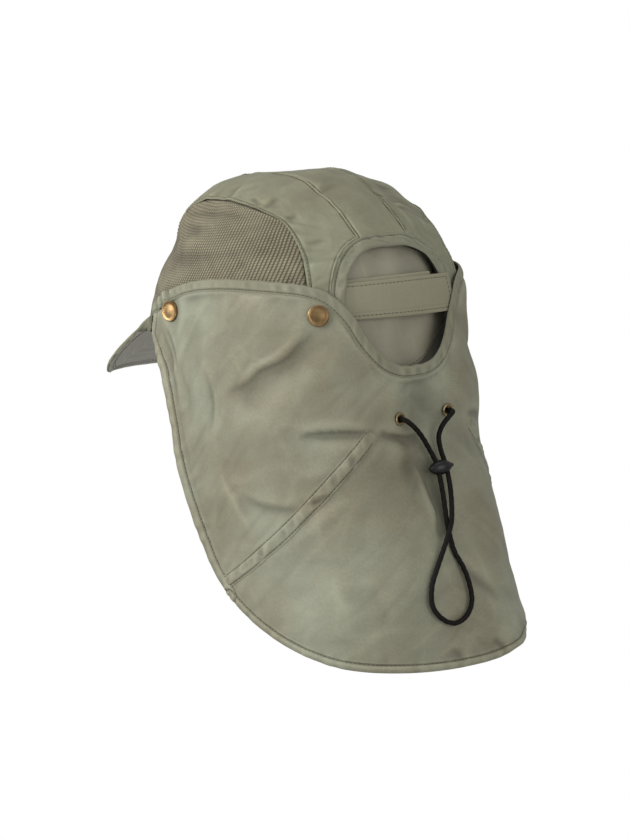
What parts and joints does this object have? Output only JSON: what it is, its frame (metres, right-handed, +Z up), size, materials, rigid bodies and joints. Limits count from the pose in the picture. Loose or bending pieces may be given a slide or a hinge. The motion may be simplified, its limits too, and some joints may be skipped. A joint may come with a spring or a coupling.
{
  "type": "sun cap with neck cape",
  "caption": "Cloth sun cap: panelled crown with mesh vents, curved peak, arched back opening with a strap, and a snapped-on neck cape with a drawcord and cord lock.",
  "frame": {"origin": "middle of the head opening, at the crown's base, where the cap sits on a head", "axes": "+Z up through the crown, -Y out of the peak, +X the wearer's left"},
  "size_m": [0.2008, 0.3588, 0.2876],
  "materials": {
    "crown_cloth": "matt woven cotton",
    "mesh": "open knitted mesh",
    "peak_cloth": "matt woven cotton over a stiff board",
    "binding_cloth": "matt woven cotton",
    "strap_cloth": "matt woven cotton",
    "cape_cloth": "matt woven cotton",
    "snap_metal": "aged, half polished",
    "eyelet_metal": "aged, half polished",
    "cord": "matt braid",
    "lock_plastic": "glossy"
  },
  "bodies": {
    "root": {"crown_center_strip": "crown_cloth", "crown_side_left": "crown_cloth", "mesh_panel_left": "mesh", "drawcord_channel_left": "cape_cloth", "crown_side_right": "crown_cloth", "mesh_panel_right": "mesh", "drawcord_channel_right": "cape_cloth", "arch_binding": "binding_cloth", "peak": "peak_cloth", "strap_outer": "strap_cloth", "strap_inner": "strap_cloth", "inner_back_panel": "cape_cloth", "neck_cape": "cape_cloth", "cape_top_binding": "binding_cloth", "snap_cap_front_left": "snap_metal", "snap_stud_front_left": "snap_metal", "snap_cap_rear_left": "snap_metal", "snap_stud_rear_left": "snap_metal", "snap_cap_rear_right": "snap_metal", "snap_stud_rear_right": "snap_metal", "snap_cap_front_right": "snap_metal", "snap_stud_front_right": "snap_metal", "eyelet_left": "eyelet_metal", "eyelet_right": "eyelet_metal", "drawcord": "cord", "cord_lock": "lock_plastic"}
  },
  "joints": []
}
